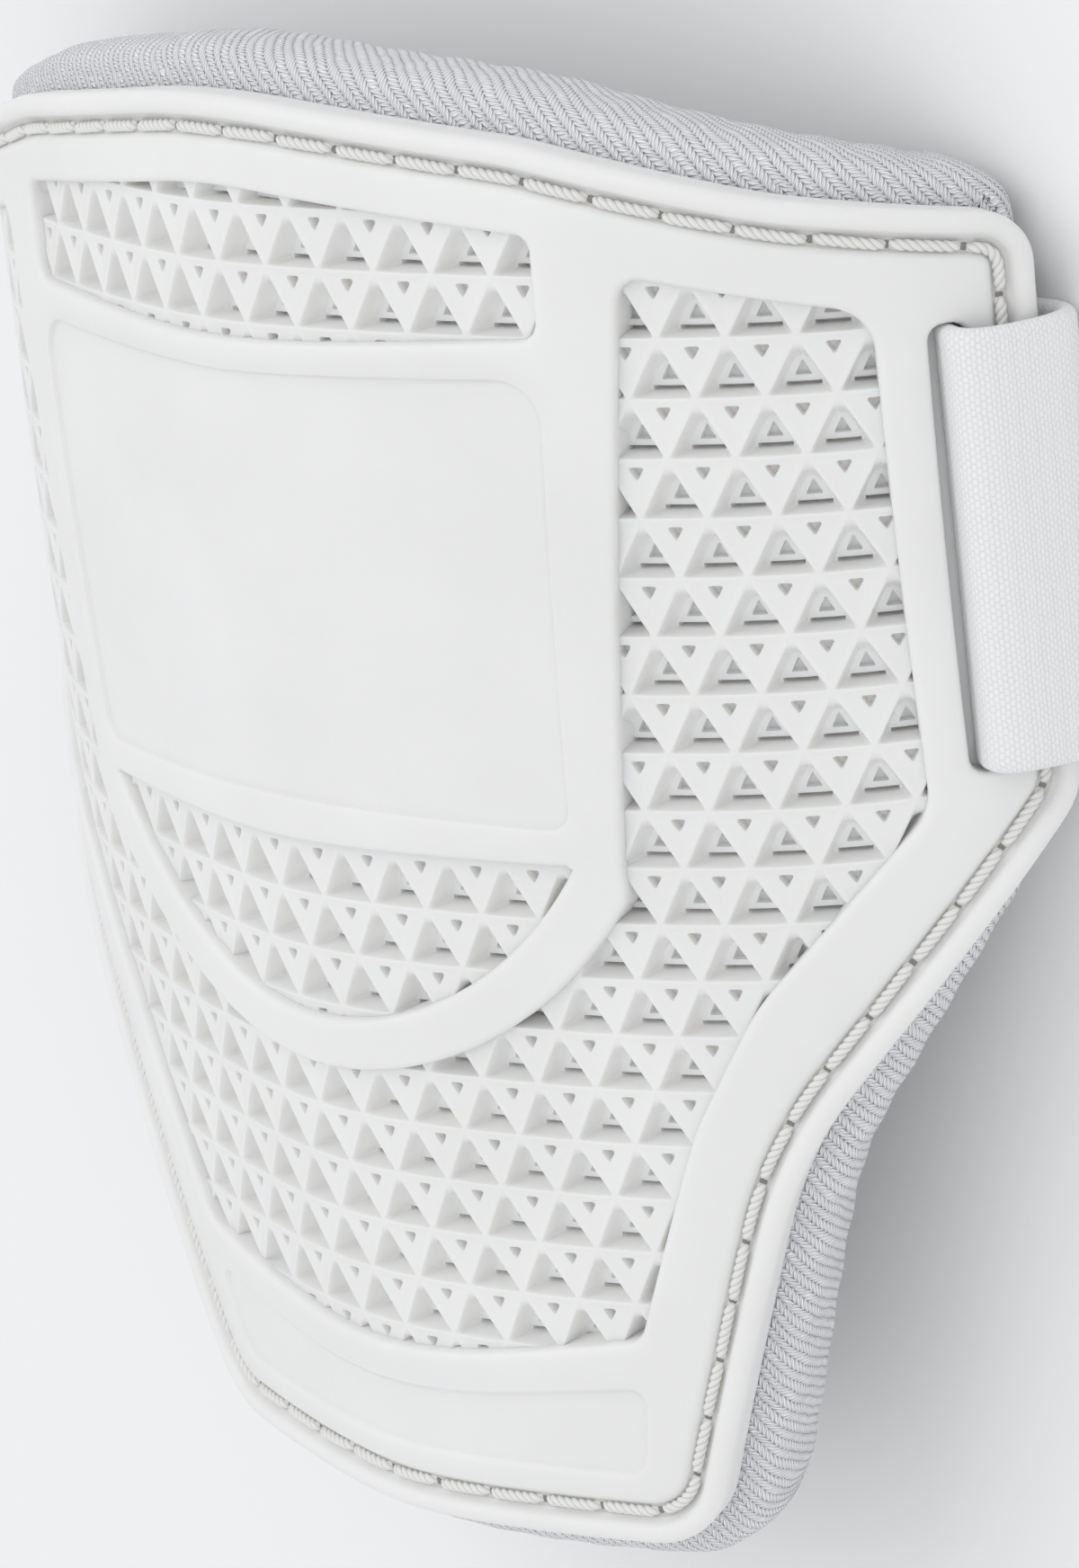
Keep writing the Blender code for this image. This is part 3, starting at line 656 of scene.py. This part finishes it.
def pocket_cell():
    """A pocket with hollowed walls, down to a small triangular ring and a slit at its base."""
    walls = [(0.0, 0.0, 0.0, 0.0, 0.0), (0.10, 0.09, 0.46, 0.12, -0.04),
             (0.17, 0.15, 0.74, 0.18, -0.20), (0.27, 0.21, 0.86, 0.24, -0.64),
             (0.39, 0.27, 0.91, 0.30, -1.27), (0.51, 0.31, 0.93, 0.34, -1.87),
             (0.62, 0.35, 0.94, 0.38, RING_W + 0.02)]
    levels = [(cell_loop(*level[:4]), level[4]) for level in walls]
    # the slit takes the base's side of two loops
    slit = np.full(3 * (ARC + SIDE), RING_W)
    slit[2 * ARC + SIDE - 1:2 * (ARC + SIDE) + 1] = SLIT_W
    levels += [(cell_loop(0.64, 0.38, 0.93, 0.36), slit), (cell_loop(0.66, 0.72, 0.91, 0.20), slit),
               (cell_loop(0.68, 0.76, 0.89, 0.16), RING_W), (cell_loop(1.27, 1.27, 0.1, 0.1), RING_W),
               (cell_loop(1.32, 1.32, 0.08, 0.08), EYE_W)]
    return cell(levels, False)


def plug_cell():
    """A flush cell with a small triangular dimple near its base."""
    levels = [(cell_loop(0.0, 0.0, 0.0, 0.0), 0.0), (cell_loop(0.22, 0.18, 0.2, 0.2), -0.04),
              (cell_loop(0.46, 0.40, 0.3, 0.3), -0.12)]
    for inset, radius, w in ((0.0, 0.18, -0.13), (0.05, 0.16, -0.30), (0.12, 0.14, -1.15)):
        half = 0.80 - 1.7 * inset
        levels.append((triangle_loop([(0.0, ROW - 1.94 + 2 * inset, radius),
                                      (half, ROW - 0.66 - inset, radius),
                                      (-half, ROW - 0.66 - inset, radius)]), w))
    return cell(levels, True)


def make_lattice(name, window, material):
    """Every cell that reaches into the window, cut off just past the window's edge."""
    out = outward(window)
    reach, keep_in = window + out * 1.0, window + out * 0.5
    lo, hi = reach.min(0), reach.max(0)
    kinds = []
    for template, down in ((pocket_cell(), False), (plug_cell(), True)):
        spots = []
        for row in range(int(lo[1] // ROW) - 1, int(hi[1] // ROW) + 2):
            for k in range(int(lo[0] // PITCH) - 2, int(hi[0] // PITCH) + 3):
                s = k * PITCH + (row % 2) * PITCH / 2
                spots.append((s, row * ROW) if not down else (s + PITCH / 2, (row + 1) * ROW))
        spots = np.array(spots)
        tries = [(0, 0), (0, 2 * ROW / 3), (-PITCH / 2, ROW), (PITCH / 2, ROW), (0, ROW),
                 (-PITCH / 4, ROW / 2), (PITCH / 4, ROW / 2)]
        near = np.zeros(len(spots), bool)
        for s, t in tries:
            near |= inside(spots + [s, -t if down else t], reach)
        kinds.append((template, spots[near]))
    points, faces, base = [], [], 0
    for (flat, quads), spots in kinds:
        for s, t in spots:
            here = flat + [s, t, 0.0]
            within = inside(here, keep_in)
            kept = quads if within.all() else quads[within[quads].any(axis=1)]
            points.append(here)
            faces.append(kept + base)
            base += len(here)
    return make_piece(name, np.concatenate(points), np.concatenate(faces), material,
                      recalc=False, sharp=42)


# Stitches

def thread(path, out, radius):
    """A twisted thread in flat space, closed at both ends; returns points and faces."""
    path, out = np.asarray(path), np.asarray(out)
    along = np.gradient(path, axis=0)
    along /= np.linalg.norm(along, axis=1)[:, None]
    side = np.cross(along, out)
    side /= np.linalg.norm(side, axis=1)[:, None]
    up = np.cross(side, along)
    sides = THREAD_SIDES
    angles = np.linspace(0, 2 * math.pi, sides, endpoint=False)
    length = np.concatenate([[0], np.cumsum(np.linalg.norm(np.diff(path, axis=0), axis=1))])
    points, n = [], len(path)
    for k in range(n):
        phase = (angles - THREAD_TWIST * length[k]) * THREAD_PLIES / 2
        r = radius[k] * (0.78 + 0.34 * np.abs(np.cos(phase)))
        points.append(path[k] + np.cos(angles)[:, None] * side[k] * r[:, None]
                      + np.sin(angles)[:, None] * up[k] * r[:, None])
    faces = []
    for k in range(n - 1):
        for i in range(sides):
            j = (i + 1) % sides
            faces.append((k * sides + i, k * sides + j, (k + 1) * sides + j, (k + 1) * sides + i))
    faces.append(tuple(range(sides))[::-1])
    faces.append(tuple((n - 1) * sides + i for i in range(sides)))
    return np.concatenate(points), faces


def make_stitches(thread_look, hole_shade_look):
    corners = mirrored(placed(OUTLINE))
    outline = evenly(rounded(corners), 0.25)
    line = outline - outward(outline, 4) * (BEAD + 0.5 * CHANNEL)
    run = np.concatenate([[0], np.cumsum(np.linalg.norm(np.diff(np.concatenate([line, line[:1]]),
                                                               axis=0), axis=1))])
    closed = np.concatenate([line, line[:1]])
    count = round(run[-1] / STITCH_PITCH)
    pitch = run[-1] / count

    def at(x):
        """The point x mm along the stitching line."""
        x = np.mod(x, run[-1])
        return np.stack([np.interp(x, run, closed[:, 0]), np.interp(x, run, closed[:, 1])], -1)

    rng = np.random.default_rng(7)
    points, faces, cloth, base = [], [], [], 0
    hole_points, hole_faces, hole_base = [], [], 0
    for k in range(count):
        start = k * pitch + rng.uniform(-0.12, 0.12)
        u = np.linspace(0, 1, THREAD_STATIONS)
        spot = at(start + STITCH_GAP + u * (pitch - 2 * STITCH_GAP))
        rise = np.minimum(1.0, np.minimum(u, 1 - u) / 0.11)
        w = 0.12 + 0.50 * np.sqrt(np.clip(rise, 0, 1)) * (1 - 0.10 * (2 * u - 1) ** 2)
        lean = rng.uniform(-0.10, 0.10) * (2 * u - 1)
        along = np.gradient(spot, axis=0)
        along /= np.linalg.norm(along, axis=1)[:, None]
        spot = spot + np.stack([along[:, 1], -along[:, 0]], -1) * lean[:, None]
        path = np.concatenate([spot, w[:, None]], axis=1)
        length = np.concatenate([[0], np.cumsum(np.linalg.norm(np.diff(path, axis=0), axis=1))])
        radius = THREAD_RADIUS * (0.60 + 0.40 * np.sqrt(np.clip(rise, 0, 1)))
        made, made_faces = thread(path, np.tile([0, 0, 1.0], (len(path), 1)), radius)
        points.append(made)
        faces += [tuple(base + i for i in f) for f in made_faces]
        cloth.append(np.stack([np.repeat(length, THREAD_SIDES),
                               np.tile(np.arange(float(THREAD_SIDES)), THREAD_STATIONS),
                               np.full(len(made), float(k))], -1))
        base += len(made)
        # the needle hole before this stitch, a dark disc of painted shade
        n = HOLE_SIDES
        centre, angle = at(start), np.linspace(0, 2 * math.pi, n, endpoint=False)
        for r, w_ring in HOLE_RINGS:
            hole_points += [(centre[0] + r * math.cos(a), centre[1] + r * math.sin(a), w_ring)
                            for a in angle]
        hole_points.append((centre[0], centre[1], HOLE_MIDDLE_W))
        for i in range(n):
            j = (i + 1) % n
            hole_faces.append((hole_base + j, hole_base + i, hole_base + n + i, hole_base + n + j))
            hole_faces.append((hole_base + n + j, hole_base + n + i, hole_base + 2 * n))
        hole_base += 2 * n + 1
    make_piece('edge_stitches', np.concatenate(points), faces, thread_look,
               cloth=np.concatenate(cloth), weld=False, sharp=0)
    make_piece('hole_shade_discs', hole_points, hole_faces, hole_shade_look, weld=False, recalc=False,
               sharp=0)


# The pad

def pad_corners():
    """The pad's edge, with a notch for the strap in each wing."""
    corners = mirrored(placed(OUTLINE))
    wide = HALF_WIDTH + PAD_PAST_WING
    notch = HALF_WIDTH - SLOT_OFFSET - NOTCH_PLAY
    half = STRAP_WIDTH / 2 + NOTCH_PLAY
    right = [(min(s, wide), t, radius) for s, t, radius in grown(corners, PAD_PAST) if s > -0.05]
    upper, lower = SLOT_MIDDLE - half, SLOT_MIDDLE + half
    middle = [(wide, upper - NOTCH_FLARE, NOTCH_LIP), (notch, upper, NOTCH_ROUND),
              (notch, lower, NOTCH_ROUND), (wide, lower + NOTCH_FLARE, NOTCH_LIP)]
    return mirrored(right[:4] + middle + right[4:])


def make_pad(material):
    sheet = Sheet()
    corners = mirrored(placed(OUTLINE))
    # the rolled edge's section, from the front round to the back: distance inwards, and w
    loops = []
    front, back = W_FLANGE - 0.25, W_PAD
    mid = (front + back) / 2
    steps = PAD_ROLL_STEPS
    for k in range(steps + 1):
        a = math.pi * k / steps
        depth = (1 - abs(math.sin(a)) ** 0.6) * PAD_ROLL
        w = mid + (front - mid) * math.copysign(abs(math.cos(a)) ** 0.8, math.cos(a))
        loops.append((depth, w))
    base = evenly(rounded(pad_corners()), PAD_STEP)
    normal = outward(base)
    run = np.concatenate([[0], np.cumsum(np.linalg.norm(np.diff(base, axis=0), axis=1))])
    # keep the inward step small near the tight corners of the notch
    bend_rate = np.abs(np.linalg.norm(np.roll(normal, -3, axis=0) - np.roll(normal, 3, axis=0),
                                      axis=1)) / (6 * PAD_STEP)
    tight = np.clip(1.4 - 3.4 * bend_rate, 0.35, 1.0)
    kernel = np.hanning(13) / np.hanning(13).sum()
    tight = np.convolve(np.concatenate([tight[-6:], tight, tight[:6]]), kernel, mode='valid')
    flat, cloth, length = [], [], 0.0
    pucker = 0.10 * np.sin(2 * math.pi * run / STITCH_PITCH) + 0.12 * np.sin(run / 5.3 + 1.0)
    for k, (d, w) in enumerate(loops):
        if k:
            length += math.hypot(d - loops[k - 1][0], w - loops[k - 1][1])
        share = math.sin(math.pi * k / steps)
        spot = base - normal * (d * tight)[:, None] + normal * (pucker * share)[:, None]
        flat.append(np.concatenate([spot, np.full((len(base), 1), w)], axis=1))
        reach = base + normal * (length - PAD_ROLL)
        cloth.append(np.concatenate([reach, np.full((len(base), 1), 0.0)], axis=1))
    n = len(base)
    faces = []
    for k in range(steps):
        for i in range(n):
            j = (i + 1) % n
            faces.append((k * n + i, k * n + j, (k + 1) * n + j, (k + 1) * n + i))
    points = np.concatenate(flat)
    cloth = np.concatenate(cloth)
    seat = evenly(rounded(grown(corners, SEAM - BORDER)), 1.0)
    under = inside(points, seat)
    points[under, 2] = np.minimum(points[under, 2], W_CORE - SEAM)
    sheet.add(points, faces)
    sheet.fill(flat[0][:, :2], [seat], front, 3.0)
    sheet.strips(seat, outward(seat), [(0.0, front), (0.0, W_CORE - SEAM)])
    sheet.fill(seat, [], W_CORE - SEAM, 5.0)
    sheet.fill(flat[-1][:, :2], [], back, 3.0)
    all_points = np.array(sheet.points)
    cloth_all = all_points.copy()
    cloth_all[:len(cloth)] = cloth
    return make_piece('pad_cover', all_points, sheet.faces, material, cloth=cloth_all,
                      sharp=0)


# The strap

def strap_line():
    """The strap's line in its section, in mm, from its sewn tail round to its hook tail."""
    half = STRAP_THICK / 2
    tail = DEPTH - half
    run = tail - STRAP_THICK - SEAM
    edge = HALF_WIDTH - SLOT_OFFSET + SLOT_WIDTH
    gap = WRAP_GAP + half
    inner, outer = W_FLANGE - gap, W_BEAD + gap
    near = 0.3 * gap

    def at(s, w):
        x, y = section(s, w)
        return float(x), float(y)

    fold = [at(edge + 1.6 * gap, inner), at(edge + near, inner),
            at(edge - gap + near, inner + near), at(edge - gap, W_FLANGE),
            at(edge - gap, W_FRAME), at(edge - gap + near, outer - near),
            at(edge + near, outer), at(HALF_WIDTH - 1.6 * gap, outer), at(HALF_WIDTH, outer)]
    tip_x, tip_y = fold[-1]
    drop = tail - tip_y
    knee = [(tip_x + 0.2 * gap, tip_y + 0.35 * drop), (tip_x - 0.2 * gap, tip_y + 0.8 * drop),
            (tip_x - 1.1 * gap, tail), (tip_x - 2.4 * gap, tail)]
    hollow_x = at(HALF_WIDTH, inner)[0]
    turn_in = [(hollow_x - 3.5 * gap, run), (hollow_x - 1.9 * gap, run - 0.24 * gap),
               (hollow_x - gap, run - 0.93 * gap)]
    right = turn_in + fold + knee
    end = knee[-1][0]
    return ([(-(end - SEWN_TAIL), tail)] + [(-x, y) for x, y in reversed(right)]
            + right + [(end - HOOK_TAIL, tail)])


def make_strap(material):
    """The strap, and its length in mm."""
    path = evenly([Vector(p) for p in strap_line()], STRAP_STEP, closed=False)
    for _ in range(STRAP_SMOOTHING):
        inner = path[1:-1] + 0.5 * ((path[:-2] + path[2:]) / 2 - path[1:-1])
        path = np.concatenate([path[:1], inner, path[-1:]])
    along = np.gradient(path, axis=0)
    along /= np.linalg.norm(along, axis=1)[:, None]
    across = np.stack([-along[:, 1], along[:, 0]], -1)
    length = np.concatenate([[0], np.cumsum(np.linalg.norm(np.diff(path, axis=0), axis=1))])
    half_w, half_t = STRAP_WIDTH / 2, STRAP_THICK / 2
    # the cross-section: flat faces with round edges
    ring = []
    flat_part = np.linspace(-half_w + half_t, half_w - half_t, STRAP_ACROSS)
    for side in (1, -1):
        ring += [(side * v, side * half_t) for v in flat_part]
        ring += [(side * (half_w - half_t + half_t * math.sin(a)), side * half_t * math.cos(a))
                 for a in np.linspace(0, math.pi, STRAP_ROUND)[1:-1]]
    ring = np.array(ring)
    m = len(ring)
    points, cloth = [], []
    for k in range(len(path)):
        edge_wave = 0.10 * math.sin(length[k] / 3.1) * np.abs(ring[:, 0] / half_w) ** 6
        x = path[k, 0] + across[k, 0] * ring[:, 1]
        y = path[k, 1] + across[k, 1] * ring[:, 1]
        points.append(np.stack([x, SHIFT_Y + ring[:, 0] + np.sign(ring[:, 0]) * edge_wave,
                                DEPTH - y], -1))
        cloth.append(np.stack([np.full(m, length[k]), ring[:, 0], ring[:, 1]], -1))
    faces = []
    for k in range(len(path) - 1):
        for i in range(m):
            j = (i + 1) % m
            faces.append((k * m + i, k * m + j, (k + 1) * m + j, (k + 1) * m + i))
    faces.append(tuple(range(m))[::-1])
    faces.append(tuple((len(path) - 1) * m + i for i in range(m)))
    cloth = np.concatenate(cloth)
    return make_piece('strap_elastic', cloth, faces, material,
                      world=np.concatenate(points) * MM, cloth=cloth, sharp=0), length[-1]


# Camera, floor and light

CAMERA_AZIMUTH, CAMERA_LIFT, CAMERA_ROLL = 0.8652713, 0.2577666, -0.0898592
CAMERA_DISTANCE = 600.0
CAMERA_TARGET = (12.843, 20.0, -49.661)
PIXELS_PER_MM = 12.598236
FRAME_HEIGHT = 1744.0
SENSOR = 36.0


def make_camera():
    """A camera at the photo's angle, set out on the upright guard and turned over with it."""
    azimuth, lift, roll = CAMERA_AZIMUTH, CAMERA_LIFT, CAMERA_ROLL
    back = Vector((math.sin(azimuth) * math.cos(lift), -math.cos(azimuth) * math.cos(lift),
                   math.sin(lift)))
    right = Vector((math.cos(azimuth), math.sin(azimuth), 0.0))
    up = back.cross(right)
    right, up = (math.cos(roll) * right + math.sin(roll) * up,
                 -math.sin(roll) * right + math.cos(roll) * up)
    target = Vector(CAMERA_TARGET)
    tilt = SLOT_MIDDLE / ARCH_RADIUS
    c, s = math.cos(tilt), math.sin(tilt)

    def turned_over(v, point=False):
        y = ARCH_RADIUS - v.y if point else -v.y
        out = Vector((v.x, v.z * c + y * s, y * c - v.z * s))
        return out + Vector((0.0, SHIFT_Y, DEPTH - ARCH_RADIUS)) if point else out

    place = target + back * CAMERA_DISTANCE
    axes = [turned_over(v) for v in (right, up, back)]
    data = bpy.data.cameras.new('camera')
    data.sensor_fit = 'AUTO'
    data.sensor_width = SENSOR
    data.lens = PIXELS_PER_MM * CAMERA_DISTANCE / FRAME_HEIGHT * SENSOR
    data.clip_start, data.clip_end = 0.01, 20.0
    camera = bpy.data.objects.new('camera', data)
    spot = turned_over(place, point=True) * MM
    camera.matrix_world = Matrix.Translation(spot) @ Matrix(
        [[axes[j][i] for j in range(3)] for i in range(3)]).to_4x4()
    bpy.context.scene.collection.objects.link(camera)
    bpy.context.scene.camera = camera


def make_light(name, place, size, power):
    """A round soft light aimed at the guard."""
    data = bpy.data.lights.new(name, 'AREA')
    data.shape, data.size, data.energy = 'DISK', size, power
    light = bpy.data.objects.new(name, data)
    light.location = place
    aim = Vector(LIGHT_TARGET) - Vector(place)
    light.rotation_euler = aim.to_track_quat('-Z', 'Y').to_euler()
    bpy.context.scene.collection.objects.link(light)


LIGHT_TARGET = (0.0, 0.0, 0.02)
FLOOR_REACH = 3.0


def make_stage():
    """The pale floor, the soft surroundings and the two lights."""
    r = FLOOR_REACH
    mesh = bpy.data.meshes.new('floor')
    mesh.from_pydata([(-r, -r, 0), (r, -r, 0), (r, r, 0), (-r, r, 0)], [], [(0, 1, 2, 3)])
    floor = bpy.data.objects.new('floor', mesh)
    bpy.context.scene.collection.objects.link(floor)
    mesh.materials.append(floor_material())
    world = bpy.data.worlds.new('studio')
    world.use_nodes = True
    world.node_tree.nodes['Background'].inputs[0].default_value = (0.93, 0.94, 0.96, 1.0)
    world.node_tree.nodes['Background'].inputs[1].default_value = 0.90
    bpy.context.scene.world = world
    make_light('key', (-0.35, 0.70, 0.95), 1.4, 3.4)
    make_light('side', (0.9, -0.2, 0.7), 0.9, 1.1)


def main():
    make_camera()
    rubber = rubber_material()
    shell = make_shell(rubber)
    for name, window in zip(('lattice_top', 'lattice_moon', 'lattice_sides'), window_loops()):
        make_lattice(name, window, rubber)
    make_stitches(thread_material(), hole_shade_material())
    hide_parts("shell")
    pad = make_pad(pad_material())
    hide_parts("pad")
    strap, length = make_strap(strap_material())
    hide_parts("strap")
    print('strap length in mm', round(length, 1))
    tab = bpy.data.objects['hook_tab']
    tab.data.materials[0] = hook_material()
    make_stage()
    bpy.context.scene.view_settings.view_transform = 'Standard'
    bpy.context.view_layer.update()


main()
